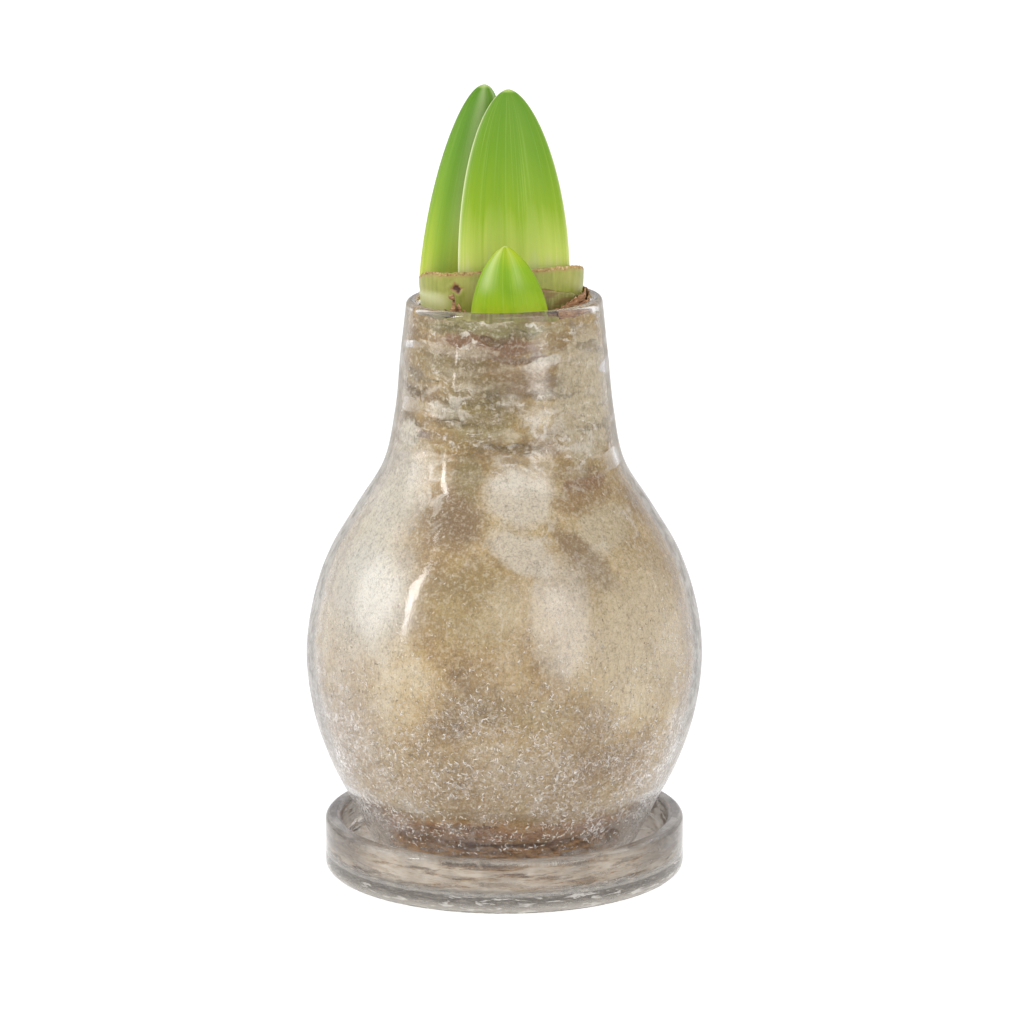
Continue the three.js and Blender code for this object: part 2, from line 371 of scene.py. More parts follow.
def makeLamp(name, azimuth, elevation, far, size, glow):
    data = bpy.data.lights.new(name, "AREA")
    data.shape = "RECTANGLE"
    data.size, data.size_y = size
    data.energy = glow * math.pi * size[0] * size[1]
    softenEdges(data)
    lamp = bpy.data.objects.new(name, data)
    turn, rise = math.radians(azimuth), math.radians(elevation)
    level = math.cos(rise)
    away = Vector((math.sin(turn) * level, -math.cos(turn) * level, math.sin(rise)))
    lamp.location = Vector((0, 0, room["aimHeight"])) + away * far
    lamp.rotation_euler = away.to_track_quat("Z", "Y").to_euler()
    lamp.visible_camera = False
    bpy.context.scene.collection.objects.link(lamp)


def softenEdges(data):
    # brightest in the middle of the lamp's face
    data.use_nodes = True
    f = Nodes(data.node_tree)
    place = f.node("NewGeometry", {}, (), "Parametric")
    far = f.vectorMaths("DISTANCE", (place, (0.5, 0.5, 0)), "Value")
    f.feed(f.ramp(far, 0.5, 0.2), f.tree.nodes["Emission"], "Strength")


def makeRoom():
    scene = bpy.context.scene
    scene.view_settings.view_transform = "Standard"
    scene.cycles.max_bounces = room["bounces"]
    scene.cycles.transmission_bounces = room["bounces"]
    world = bpy.data.worlds.new("studio")
    world.use_nodes = True
    sky = Nodes(world.node_tree)
    backdrop = sky.tree.nodes["Background"]
    backdrop.inputs["Strength"].default_value = room["skyStrength"]
    up = sky.node("SeparateXYZ", {}, (sky.node("TexCoord", {}, (), "Generated"),), "Z")
    skyShades = [(0, room["skyLevel"]), (1, room["skyUp"])]
    sky.feed(sky.shades(up, skyShades), backdrop, "Color")
    scene.world = world
    bm = bmesh.new()
    bmesh.ops.create_grid(bm, x_segments=1, y_segments=1, size=room["floorSize"] / 2)
    mesh = meshOf(bm, "floor")
    f = Finish("floorPaint")
    mesh.materials.append(f.done(f.surface({
        "Base Color": room["floorShade"],
        "Roughness": 0.9,
        "Specular IOR Level": 0.1,
        "Emission Color": "#ffffff",
        "Emission Strength": room["floorGlow"],
    })))
    floor = bpy.data.objects.new("floor", mesh)
    scene.collection.objects.link(floor)


makeCamera()
makeRoom()
for name, lamp in lamps.items():
    makeLamp(name, **lamp)
print("studio ready")

# glass

dish = dict(
    radius=51.9,
    height=15.6,
    wall=4.7,
    floor=5.2,
    footRound=2,
    lipRound=1.6,
    innerRound=2,
    rings=(20, 36),  # radii that split the floor
    stainFrom=30,
    stainPastWall=1.2,
    # below this height the underside is painted dark as the saucer's shadow
    paintedShadowTop=0.6,
)
jar = dict(
    # radius and height of the outside, from the foot to the rim
    outside=[(36.5, 5.2), (43.5, 19), (50.4, 32.8), (55.1, 47.4), (57.0, 62.8), (55.2, 78.1),
             (50.4, 92.7), (42.6, 106), (34.5, 119.3), (31.2, 134.3), (29.6, 149.6), (27.9, 164.9)],
    wall=2.3,
    rimWall=3.2,
    rimFrom=138,
    rimFull=162,
    footRound=0.8,
    rimRise=0.5,
    rimTilt=0.5,
    rimSpan=(148, 166),  # heights over which the rise and the tilt come in
    wander=0.14,  # how far the blown wall is off true
    wanderSize=16,
    wanderIn=(8, 30),
    wanderOut=(150, 164),
    rounds=160,
    steps=130,
    shade="#eeebe8",
    veilTop=108,  # the crackle's haze starts below this height
    veilFull=38,
    veilFoot=(9, 22),  # and it thins out again towards the foot
    veilClumps=((14, 0.5, 1.3), (6, 0.7, 2.1), (3, 0.5, 0.4)),  # size, strength and seed
)
seeds = dict(
    count=12000,
    shapes=18,
    shapeRadii=(0.07, 0.17, 0.05),
    shapeThickness=0.12,
    sides=3,
    top=118,  # few are above this height
    full=40,  # and they are thickest below this one
    length=(0.35, 1.7),
    thickness=(0.10, 0.2),
    depth=(0.4, 1.6),  # under the outside of the glass
    falloff=1.6,
    span=(7, 160),
    foot=(9, 21),  # few are at the foot
    footShare=0.15,
    evenness=0.45,
    clumps=((10, 0.7, 3.3), (3.5, 0.6, 5.1)),  # size, strength and seed
    strays=0.01,
    outlineSteps=400,
)


def jarLine(depthAt, count):
    # points along the jar's outside, moved inwards by the depth at their height
    line = smoothLine(jar["outside"], count)
    moved = []
    for i, point in enumerate(line):
        along = (line[min(i + 1, count)] - line[max(i - 1, 0)]).normalized()
        depth = depthAt(point.y)
        moved.append((point.x - depth * along.y, point.y + depth * along.x))
    return moved


def wallAt(height):
    return mix(jar["wall"], jar["rimWall"], smoothStep(height, jar["rimFrom"], jar["rimFull"]))


def rimLift(angle, height):
    raised = jar["rimRise"] + jar["rimTilt"] * math.cos(angle)
    return smoothStep(height, *jar["rimSpan"]) * raised


def crackledGlass():
    f = Finish("crackledGlass")
    veil = f.attribute("veil")
    wide = f.noise(14, 1, vector=f.stretched((1, 1, 0.5)))
    waves = f.bump(wide + f.noise(5, 1) * 0.25, 0.24)
    fine = f.noise(0.8, 3, 0.7)
    pits = f.bump(fine * (veil + 0.2), 0.05, waves)
    facing = f.node("LayerWeight", {}, {"Blend": 0.5}, "Facing")
    cloud = f.noise(3.5, 3, 0.6)
    uneven = facing + cloud * 0.16
    low = f.ramp(f.height(), 14, 60, 0.25, 1.0)
    # painted shade: the wall's own thickness, seen edge on past what the jar holds, as a grey band
    # and dark line
    band = f.ramp(uneven, 0.7, 0.84) * low
    paintedEdgeLine = f.ramp(abs(uneven - 0.71), 0.0, 0.05, 1.0, 0.0) * low
    edge = f.ramp(facing, 0.2, 0.7)
    threads = f.line(f.noise(1.5, 3, 0.6, 1.2), 0.085) * f.ramp(f.noise(1.2, 1), 0.44, 0.56)
    grains = f.ramp(fine, 0.56, 0.66)
    marks = threads.most(grains) * veil
    mist = veil * (edge * low * 0.4 + 0.08) + marks * (edge * 0.5 + 0.45) + grains * 0.05
    paintedEdgeShade = f.shades(cloud, [(0.38, "#73716e"), (0.6, "#a9a7a4")])
    # the painted edge shade is darker and browner on the neck
    paintedEdgeShade = f.blend(f.ramp(f.height(), 108, 130) * 0.6, paintedEdgeShade, "#7d725f")
    marked = f.blend(marks, "#c4bdb9", "#fdfbf8")
    shade = f.layered(marked, (band * (1.0 - marks), paintedEdgeShade), (paintedEdgeLine * 0.6, "#786b5a"))
    frost = f.surface({
        "Base Color": shade,
        "Roughness": 0.4,
        "Specular IOR Level": 0.25,
        "Normal": pits,
    })
    share = (mist + band * 0.7 + paintedEdgeLine * 0.4).least(0.9)
    return f.done(f.glass(jar["shade"], pits, share, frost))


def clearGlass(name, shade, depth, size):
    # the soft waves of hand-blown glass
    f = Finish(name)
    return f.done(f.glass(shade, f.bump(f.noise(size, 1), depth)))


def dishGlass():
    # thick pressed glass; painted shade: a streaked film at the floor's edge, darker higher up, and
    # along the lip
    f = Finish("dishGlass")
    height = f.height()
    streaks = f.noise(2.2, 4, 0.65, 0.4, vector=f.stretched((0.3, 0.3, 1.6)))
    paintedFloorShade = f.ramp(height, 5.5, 4.9)
    lip = f.ramp(height, 14.2, 15.2)
    # darker towards the top of the floor: painted shade
    paintedDepthShade = f.ramp(height + streaks * 2, 1.4, 5.2)
    paintedLipShade = f.shades(streaks, [(0.4, "#6f6963"), (0.6, "#a8a29b")])
    shade = f.blend(paintedDepthShade, "#b4aea4", "#3f382f")
    shade = f.layered(shade, (f.ramp(streaks, 0.54, 0.64) * 0.7, "#dedad2"), (lip, paintedLipShade))
    film = f.surface({"Base Color": shade, "Roughness": 0.25})
    share = (paintedFloorShade * f.ramp(streaks, 0.3, 0.6, 0.35, 0.7)).most(lip * 0.5)
    return f.done(f.glass("#c6beb4", f.bump(f.noise(12, 1), 0.2), share, film))


def streakedGlass():
    # pressed glass that the dregs of the roots have stained, with painted shade on its wall
    f = Finish("streakedGlass")
    flat = f.stretched((0.22, 0.22, 1.5))
    streaks = f.noise(2.6, 4, 0.65, 0.4, vector=flat)
    patches = f.noise(9, 2)
    waves = f.bump(streaks, 0.25)
    stain = f.shades(f.noise(2.5, 5, 0.78, vector=flat), [
        (0.31, "#62401f"), (0.4, "#b8956a"), (0.47, "#e9dccb"), (0.58, "#fffaf2"),
    ])
    # painted shade: a darker film over the wall, but for its front, dulls the bright refractions
    paintedWallShade = f.ramp(f.height(), 6, 9) * f.ramp(f.height(axis="Y"), -36, -20)
    stain = f.blend(paintedWallShade, stain, f.shades(streaks, [(0.4, "#55473a"), (0.6, "#b5aaa0")]))
    share = (f.ramp(streaks, 0.38, 0.54) * f.ramp(patches, 0.3, 0.6, 0.6, 1.0)).most(paintedWallShade * 0.6)
    film = f.surface({"Base Color": stain, "Roughness": 0.3, "Normal": waves})
    return f.done(f.glass("#dedad5", waves, share, film))


def paintedShadowUnderside():
    # painted shadow: the matt underside that the saucer stands on, dark in place of its shadow
    f = Finish("paintedShadowUnderside")
    cloud = f.noise(2.4, 4, 0.7)
    shade = f.shades(cloud, [
        (0.34, "#2e2a25"), (0.48, "#5f574e"), (0.6, "#a39b8f"), (0.7, "#cfc9bf"),
    ])
    return f.done(f.surface({"Base Color": shade, "Roughness": f.ramp(cloud, 0.3, 0.7, 0.5, 0.7)}))


def seedGlass():
    # the bright skins of bubbles and cracks in the glass, with a faint painted glow
    f = Finish("seedGlass")
    toneAndGlow = f.shades(f.noise(1.6, 1), [(0.36, "#8d7c63"), (0.44, "#d9cfbf"), (0.6, "#fbf8f4")])
    return f.done(f.surface({
        "Base Color": toneAndGlow,
        "Roughness": 0.2,
        "Emission Color": toneAndGlow,
        "Emission Strength": 0.24,
    }))


def clumping(place, value, layers):
    for size, strength, seed in layers:
        value += strength * ripple(place, size, seed)
    return value


def veilAt(angle, radius, height):
    # how thick the haze of fine crackle is, from 0 to 1
    place = polar(angle, radius, height)
    low = 1 - smoothStep(height, jar["veilFull"], jar["veilTop"])
    foot = mix(0.45, 1, smoothStep(height, *jar["veilFoot"]))
    clumps = clumping(place, 0.5, jar["veilClumps"])
    return max(0.0, min(1.0, (0.12 + 0.62 * clumps) * low * foot))


def makeJar():
    foot, edge = dish["floor"], jar["footRound"]
    outer = jarLine(lambda height: 0, jar["steps"])[2:]
    inner = jarLine(wallAt, jar["steps"])[2:]
    rim = [(outer[-1][k] + inner[-1][k]) / 2 for k in (0, 1)]
    radius = jar["outside"][0][0]
    outline = [
        *arcPoints(radius - edge, foot + edge, edge, -90, 0, 4),
        *outer,
        *arcPoints(*rim, jar["rimWall"] / 2, 10, 170, 12),
        *reversed(inner),
        *arcPoints(radius - jar["wall"] + edge, foot + edge, edge, 180, 270, 4),
    ]
    bm = spun(outline, jar["rounds"], closed=True)

    def move(angle, r, z):
        sway = smoothStep(z, *jar["wanderIn"]) * (1 - smoothStep(z, *jar["wanderOut"]))
        off = jar["wander"] * sway * ripple(polar(angle, r, z), jar["wanderSize"])
        return polar(angle, r + off, z + rimLift(angle, z))

    reshape(bm, move)
    veil = bm.verts.layers.float.new("veil")
    for v in bm.verts:
        v[veil] = veilAt(*polarOf(v))
    for face in bm.faces:
        middle = face.calc_center_median()
        outwards = face.normal.x * middle.x + face.normal.y * middle.y > 0
        face.material_index = 0 if outwards else 1
    materials = [crackledGlass(), clearGlass("innerGlass", jar["shade"], 0.15, 9)]
    makePiece("glassJar", bm, materials, "clear_glass", "glass_jar")


def seedShapes(dice):
    # short curled threads, 1 mm long and lying in the XY plane
    shapes = []
    for _ in range(seeds["shapes"]):
        turn, bend = 0, dice.uniform(-3, 3)
        line = [Vector((0, 0, 0))]
        for _ in range(2):
            line.append(line[-1] + Vector((math.cos(turn), math.sin(turn), 0)) / 2)
            turn += bend * dice.uniform(0.5, 1.2)
        middle = sum(line, Vector()) / len(line)
        shape = bmesh.new()
        strand(shape, [p - middle for p in line], seeds["shapeRadii"], seeds["sides"])
        shapes.append(meshOf(shape, "seedShape"))
    return shapes


def makeSeeds():
    dice = random.Random(11)
    shapes = seedShapes(dice)
    outline = jarLine(lambda height: 0, seeds["outlineSteps"])
    widest = max(radius for radius, height in outline)
    lowest, highest = seeds["span"]
    bm = bmesh.new()
    placed = 0
    while placed < seeds["count"]:
        at = dice.randrange(1, seeds["outlineSteps"] - 1)
        radius, height = outline[at]
        angle = dice.uniform(-math.pi, math.pi)
        dense = (1 - smoothStep(height, seeds["full"], seeds["top"])) ** seeds["falloff"]
        dense *= mix(seeds["footShare"], 1, smoothStep(height, *seeds["foot"]))
        place = polar(angle, radius, height)
        likely = dense * clumping(place, seeds["evenness"], seeds["clumps"]) + seeds["strays"]
        if not lowest <= height <= highest or dice.random() * widest > radius * likely:
            continue
        before, after = outline[at - 1], outline[at + 1]
        slope = math.atan2(after[1] - before[1], after[0] - before[0])
        normal = polar(angle, math.sin(slope), 0) - Vector((0, 0, math.cos(slope)))
        size = dice.uniform(*seeds["length"]) * mix(0.6, 1, dense)
        thick = dice.uniform(*seeds["thickness"]) / seeds["shapeThickness"]
        where = Matrix.LocRotScale((place - normal * dice.uniform(*seeds["depth"])) * mm,
                                   normal.to_track_quat("Z", "X"), None)
        turn = Matrix.Rotation(dice.uniform(0, 2 * math.pi), 4, "Z")
        shape = where @ turn @ Matrix.Diagonal((size, size, thick, 1))
        mesh = dice.choice(shapes)
        mesh.transform(shape)
        bm.from_mesh(mesh)
        mesh.transform(shape.inverted())
        placed += 1
    makePiece("glassSeeds", bm, [seedGlass()], "clear_glass")


def makeSaucer():
    radius, height, floor = dish["radius"], dish["height"], dish["floor"]
    lip, inside = dish["lipRound"], dish["radius"] - dish["wall"]
    corner = dish["innerRound"]
    outline = [
        (0, 0),
        (dish["rings"][0], 0),
        *arcPoints(radius - dish["footRound"], dish["footRound"], dish["footRound"], -90, 0),
        (radius, floor),
        (radius, height / 2),
        *arcPoints(radius - lip, height - lip, lip, 0, 90),
        *arcPoints(inside + lip, height - lip, lip, 90, 180),
        *arcPoints(inside - corner, floor + corner, corner, 0, -90),
        *[(ring, floor) for ring in reversed(dish["rings"])],
        (0, floor),
    ]
    bm = spun(outline, jar["rounds"])
    for face in bm.faces:
        middle = face.calc_center_median() / mm
        far = math.hypot(middle.x, middle.y)
        if middle.z > floor - 0.1 and dish["stainFrom"] < far < inside + dish["stainPastWall"]:
            face.material_index = 1
        # the underside gets the painted shadow
        elif middle.z < dish["paintedShadowTop"]:
            face.material_index = 2
    materials = [dishGlass(), streakedGlass(), paintedShadowUnderside()]
    makePiece("saucerGlass", bm, materials, "clear_glass", "saucer")


makeJar()
makeSeeds()
makeSaucer()

# bulb

skin = dict(
    press=0.15,  # how far the skin is pressed against the glass and into its unevenness
    shoulder=29,
    base=13,
    baseRadius=8,
    underside=[(17, 13), (26, 14), (34.5, 17), (41, 22.5)],
    top=161.5,
    edge=164.4,  # a thin torn edge stands up round the mouth
    edgeWall=0.35,
    wrinkle=0.55,
    wrinklePitch=3.9,
    wrinkleFrom=116,
    rounds=200,
    rings=400,
    # the cut edges of the scales that the bulb is made of, as shallow rings on its top
    topRings=26,
    scalePitch=2.9,
    scaleDepth=0.4,
    plainEdge=4,
)
olive, rust, tan = "#7f7740", "#6f4a2c", "#8e7040"
cream, beige, slate = "#e9e2d2", "#c9bb9a", "#7c7068"
# place, radii, turn, softness, shade and strength of each blotch
blotches = [
    # under the rim
    ((-4, -23, 161.6), (17, 25, 2.8), 0, 0.3, "#858146", 0.85),
    ((19, -15, 161), (2.6, 12, 1.8), 0, 0.3, slate, 0.7),
    # the neck, from its left side
    ((-24, -10, 148), (2.6, 12, 2.2), 20, 0.4, slate, 0.7),
    ((-13.5, -22, 152), (8, 25, 4.5), 0, 0.4, olive, 0.5),
    ((-27, -8, 142), (5, 14, 16), 0, 0.4, "#87775c", 0.55),
    ((-25, -12, 130), (3.6, 12, 4.4), 20, 0.25, cream, 0.9),
    ((-16.6, -21, 138.6), (3.8, 14, 2.2), 10, 0.3, cream, 0.8),
    ((-22, -17, 130.7), (1.3, 10, 1.2), 0, 0.3, rust, 1.0),
    ((-4, -25, 157.6), (14, 25, 2.4), 2, 0.3, "#7a4a20", 0.85),
    ((-2, -25, 154), (15, 25, 1.3), 4, 0.3, rust, 0.75),
    ((10, -23, 153.5), (1.6, 20, 3), -25, 0.3, rust, 0.9),
    ((10, -23.5, 151.5), (5.6, 20, 1.6), -12, 0.3, cream, 0.9),
    ((11, -24, 145), (4, 20, 2), 15, 0.35, cream, 0.8),
    ((4, -25.5, 147), (11, 25, 4), 0, 0.4, tan, 0.8),
    ((-7, -26, 139), (10, 25, 10), 0, 0.3, olive, 0.55),
    ((21, -16.5, 141), (8, 20, 19), 0, 0.12, beige, 0.9),
    # the shoulder
    ((-10, -28, 120), (4, 25, 6), 0, 0.4, olive, 0.55),
    ((-13.7, -33, 109.5), (8.4, 25, 7), 0, 0.4, "#806236", 0.8),
    ((-24.4, -27, 109), (3.9, 20, 4), 0, 0.5, slate, 0.6),
    ((4.4, -32, 115), (9.5, 25, 7.4), 10, 0.25, cream, 0.8),
    ((21.3, -23, 117.5), (6.2, 20, 2.8), -5, 0.15, "#8f642d", 0.9),
    ((20.5, -26, 113), (7.5, 20, 3.6), 0, 0.3, "#a07d40", 0.8),
    ((27, -28, 105.4), (8.4, 20, 5.7), 0, 0.35, "#cfc2a1", 0.7),
    # the belly
    ((-8, -46, 88), (13, 25, 11), 0, 0.35, "#998845", 0.4),
    # the next two cream patches are partly paler skin, partly a painted reflection of the key
    # lamp's window
    ((4.4, -41, 101.5), (10, 25, 4.6), 22, 0.25, cream, 0.75),
    ((15.5, -47, 84), (8.6, 25, 17.5), 0, 0.2, cream, 0.5),
    ((22, -37, 99), (12, 25, 3), 42, 0.35, tan, 0.85),
    # the next two pale grey patches are partly paler skin, partly a painted reflection of the left
    # lamp's glow
    ((-38, -28, 88), (14, 30, 18), 0, 0.6, "#dcdcd6", 0.85),
    ((-31, -19, 116), (9, 18, 15), 15, 0.5, "#dddbd2", 0.8),
    ((-46, -28, 52), (14, 30, 22), 0, 0.6, "#b3a698", 0.6),
    # partly paler skin, partly painted light on the lit right side
    ((38, -36, 76), (17, 30, 20), 0, 0.6, "#e2d6b8", 0.7),
    ((0, -40, 36), (44, 40, 14), 0, 0.6, "#94733f", 0.55),
    ((3, -50, 60), (19, 25, 5), 8, 0.4, "#9d8344", 0.5),
    ((51.4, -8, 72.5), (2, 12, 3.7), 0, 0.3, "#8f7a5c", 0.7),
    # the back, from its left side
    ((-46, 24, 84), (14, 20, 9), 15, 0.3, "#e2d9c4", 0.7),
    ((-22, 38, 98), (11, 20, 5), -20, 0.25, cream, 0.75),
    ((-30, 44, 62), (9, 20, 14), 10, 0.35, tan, 0.6),
    ((6, 36, 106), (9, 20, 6), 0, 0.25, "#80622f", 0.75),
    ((10, 50, 78), (15, 20, 8), 25, 0.3, cream, 0.6),
    ((36, 30, 92), (10, 20, 4), -35, 0.3, rust, 0.6),
    ((44, 34, 60), (12, 20, 10), 0, 0.4, "#a08a58", 0.6),
]


def tunicSkin():
    f = Finish("tunicSkin")
    moved = f.warped(8, 8, 5)
    height = f.height()
    neck = f.ramp(height, 112, 132)
    wide = f.noise(26, 4, 0.6, vector=moved)
    belly = f.shades(wide, [
        (0.32, "#8f7039"), (0.44, "#b6975a"), (0.56, "#d4bb86"), (0.68, "#ece0c2"),
    ])
    bands = f.noise(12, 4, 0.6, vector=f.stretched((0.35, 0.35, 2.2), moved))
    neckShade = f.shades(bands, [
        (0.3, "#6c4f1c"), (0.42, "#8e6e29"), (0.55, "#ac8d42"), (0.7, "#d9c89d"),
    ])
    shade = f.blend(neck, belly, neckShade)
    speck = f.noise(0.6, 2, 0.6)
    for place, radii, turn, soft, code, strength in blotches:
        share = f.mark(place, radii, turn, soft, moved)
        if code == slate:
            share = share * f.ramp(speck, 0.4, 0.56)
        shade = f.blend(share * strength, shade, code)
    # pale swirl lines on shoulder and lower neck; painted shade in neck furrows, painted light on
    # crests, glints
    swirl = f.line(f.noise(11, 2, 0.5, 0.5, vector=moved), 0.06)
    swirlZone = f.ramp(f.noise(16, 1), 0.45, 0.6) * f.ramp(height, 84, 112) * f.ramp(height, 150, 142)
    folds = f.noise(4.4, 2, 0.55, vector=f.stretched((0.22, 0.22, 1), moved))
    furrowAndShade = f.ramp(folds, 0.47, 0.34) * neck
    paintedCrestLight = f.ramp(folds, 0.56, 0.7) * neck
    paintedGlints = f.ramp(f.noise(1.9, 3, 0.6, vector=f.stretched((0.5, 0.5, 1.4), moved)), 0.56, 0.64)
    glintPatches = f.ramp(f.noise(9, 2), 0.42, 0.6) * f.ramp(height, 108, 126)
    # the brown foot, streaked sideways
    streaks = f.noise(5, 4, 0.65, vector=f.stretched((0.3, 0.3, 2.2), moved))
    footShade = f.shades(streaks, [
        (0.35, "#6a3c1a"), (0.5, "#b3783d"), (0.62, "#dcae70"), (0.75, "#f2dab0"),
    ])
    fine = f.noise(1.4, 4, 0.65)
    scratches = f.line(f.noise(2.8, 2, 0.5, 2.0), 0.02) * f.ramp(height, 84, 98)
    veins = f.noise(2.2, 2, vector=f.stretched((1, 1, 0.12)))
    shade = f.layered(
        shade,
        (swirl * swirlZone * 0.7, "#efe9dc"),
        # painted shade in the furrows, painted light on the crests and painted glints on the upper
        # neck
        (furrowAndShade * 0.6, "#6a5526"),
        (paintedCrestLight * 0.5, "#d9ceb4"),
        (paintedGlints * glintPatches * 0.75, "#f6f1e6"),
        (f.ramp(f.height(moved), 27, 22), footShade),
        (f.ramp(fine, 0.5, 0.66) * 0.38, "#f3ead4"),
        (f.ramp(fine, 0.46, 0.32) * 0.4, "#735b30"),
        (f.ramp(speck, 0.54, 0.66) * (0.3 - neck * 0.14), "#f3eddd"),
        (f.ramp(speck, 0.46, 0.35) * 0.3, "#6b5530"),
        (scratches * 0.4, "#6b5f47"),
        (f.line(veins, 0.02) * 0.3, "#5f4a26"),
    )
    relief = veins * 0.5 + folds * neck * 2 - furrowAndShade + fine * 0.4
    return f.done(f.surface({
        "Base Color": shade,
        "Roughness": f.ramp(fine, 0.3, 0.7, 0.3, 0.5),
        "Normal": f.bump(relief, 0.4),
        "Specular IOR Level": 0.5,
        "Coat Weight": 0.3,
        "Coat Roughness": 0.22,
    }))


def skinRelief(angle, z):
    # how far the skin stands out: on the neck it sinks away from the glass in long flat pockets
    neck = smoothStep(z, skin["wrinkleFrom"], skin["wrinkleFrom"] + 10)
    top = 1 - smoothStep(z, skin["top"] - 7, skin["top"] - 2)
    around = polar(angle, 30, z)
    fold = ripple((around.x * 0.25, around.y * 0.25, z), skin["wrinklePitch"], 1.7)
    fine = ripple((around.x * 0.6, around.y * 0.6, z * 1.6), skin["wrinklePitch"], 4.1)
    return -skin["wrinkle"] * neck * top * smoothStep(fold + 0.4 * fine, 0.12, 0.5)


def makeBulb():
    line = jarLine(lambda z: wallAt(z) - skin["press"], skin["rings"])
    side = [p for p in line if skin["shoulder"] < p[1] < skin["edge"]]
    below = smoothLine([*skin["underside"], side[0]], 40)
    top = skin["top"]
    mouth = side[-1][0] - skin["edgeWall"]
    base, rings = skin["base"], skin["topRings"]
    outline = [
        (0, base),
        (skin["baseRadius"], base),
        *[tuple(p) for p in below],
        *side[1:],
        (mouth, side[-1][1]),
        *[(mouth * (1 - i / rings), top) for i in range(rings)],
        (0, top),
    ]
    bm = spun(outline, skin["rounds"])

    def move(angle, r, z):
        if z < base + 0.1 or r < 1:
            return polar(angle, r, z)
        if abs(z - top) < 0.01 and r < mouth + 0.01:
            cut = skin["scaleDepth"] * (1 - math.cos(2 * math.pi * r / skin["scalePitch"]))
            return polar(angle, r, z - cut if r < mouth - skin["plainEdge"] else z)
        if z > top:
            torn = 0.6 * ripple(polar(angle, 9, 0), 1.2, 3)
            torn += 0.4 * ripple(polar(angle, 30, 0), 1.1, 9)
            z += (torn - 0.2) * (z - top) / (skin["edge"] - top)
        return polar(angle, r + skinRelief(angle, z), z)

    reshape(bm, move)
    makePiece("bulbBody", bm, [tunicSkin()], "bulb_tunic", "bulb")


makeBulb()

roots = dict(
    count=110,
    plateRadius=16,
    plateTop=12.95,
    thickness=(0.35, 0.95),
    # ranges for those that lie low and those that climb: how far out, and the heights of both ends
    reach=((25, 32), (30, 35.5)),
    endRise=((0.9, 2.6), (4, 8.6)),
    startRise=((2, 4), (4.6, 6.3)),
    steps=12,
    sides=6,
)


def rootBark():
    f = Finish("rootBark")
    grain = f.noise(1.5, 4, 0.65, vector=f.stretched((1, 1, 2)))
    shade = f.shades(grain, [
        (0.3, "#774a26"), (0.48, "#c79556"), (0.62, "#dcb27c"), (0.8, "#ecd3a8"),
    ])
    patches = f.ramp(f.noise(8, 2), 0.5, 0.65)
    shade = f.blend(patches * 0.6, shade, "#c09a68")
    return f.done(f.surface({
        "Base Color": shade,
        "Roughness": f.ramp(grain, 0.3, 0.7, 0.6, 0.9),
        "Normal": f.bump(grain, 0.3),
    }))


def makeRoots():
    dice = random.Random(5)
    floor, plate, top = dish["floor"] + 0.15, roots["plateRadius"], roots["plateTop"]
    outline = [
        (0, floor),
        (plate - 3, floor),
        *arcPoints(plate - 2, floor + 2, 2, -60, 0, 5),
        (plate + 0.4, top - 2),
        (plate - 0.3, top - 0.2),
        (plate - 1.5, top),
        (plate / 2, top),
        (0, top),
    ]
    bm = spun(outline, 64)
    for i in range(roots["count"]):
        climbs = int(i % 3 > 0)
        angle = 2 * math.pi * (i + dice.random()) / roots["count"]
        bend = dice.choice((-1, 1)) * dice.uniform(0.1, 0.5)
        reach = dice.uniform(*roots["reach"][climbs])
        end = floor + dice.uniform(*roots["endRise"][climbs])
        high = floor + dice.uniform(*roots["startRise"][climbs])
        path = [
            (plate - 4, high, 0),
            (plate + 3, high, 0.1 * bend),
            ((plate + reach) / 2, (high + end) / 2, 0.5 * bend),
            (reach - 1, end, bend),
            (reach - dice.uniform(0, 1.5), end + dice.uniform(-0.6, 0.8), 1.9 * bend),
        ]
        line = smoothLine([polar(angle + turn, r, z) for r, z, turn in path], roots["steps"])
        line = [p + Vector((0, 0, 0.5 * ripple(p, 5, i))) for p in line]
        thick = dice.uniform(*roots["thickness"])
        radii = [thick * (1 - 0.5 * k / roots["steps"]) for k in range(len(line))]
        strand(bm, line, radii, roots["sides"])
    faceOutwards(bm)
    makePiece("rootTuft", bm, [rootBark()], "dry_roots", "root_plate")


makeRoots()

# cut leaf bases

collar = dict(
    centre=(-0.8, 3.4),
    halfWidth=23.4,
    halfDepth=16.8,
    squareness=0.92,
    flare=0.75,
    wall=0.7,
    wallFront=1.8,
    foot=161.5,
    top=176.3,
    tilt=0.05,
    drop=6,
    dropFrom=-8,
    dropTo=14,
    unevenness=0.25,
    rounds=300,
    rows=36,
    scar=(-121, 171.6),  # angle and height
    scarSize=(2.1, 2.0),
    lobeWide=(22, 30),  # where the folded leaf base ends, along the wall from the scar
    creaseDrop=1.5,
    cutFrom=(0.8, 0.97),  # the cut edge's brown, as shares of the height
)


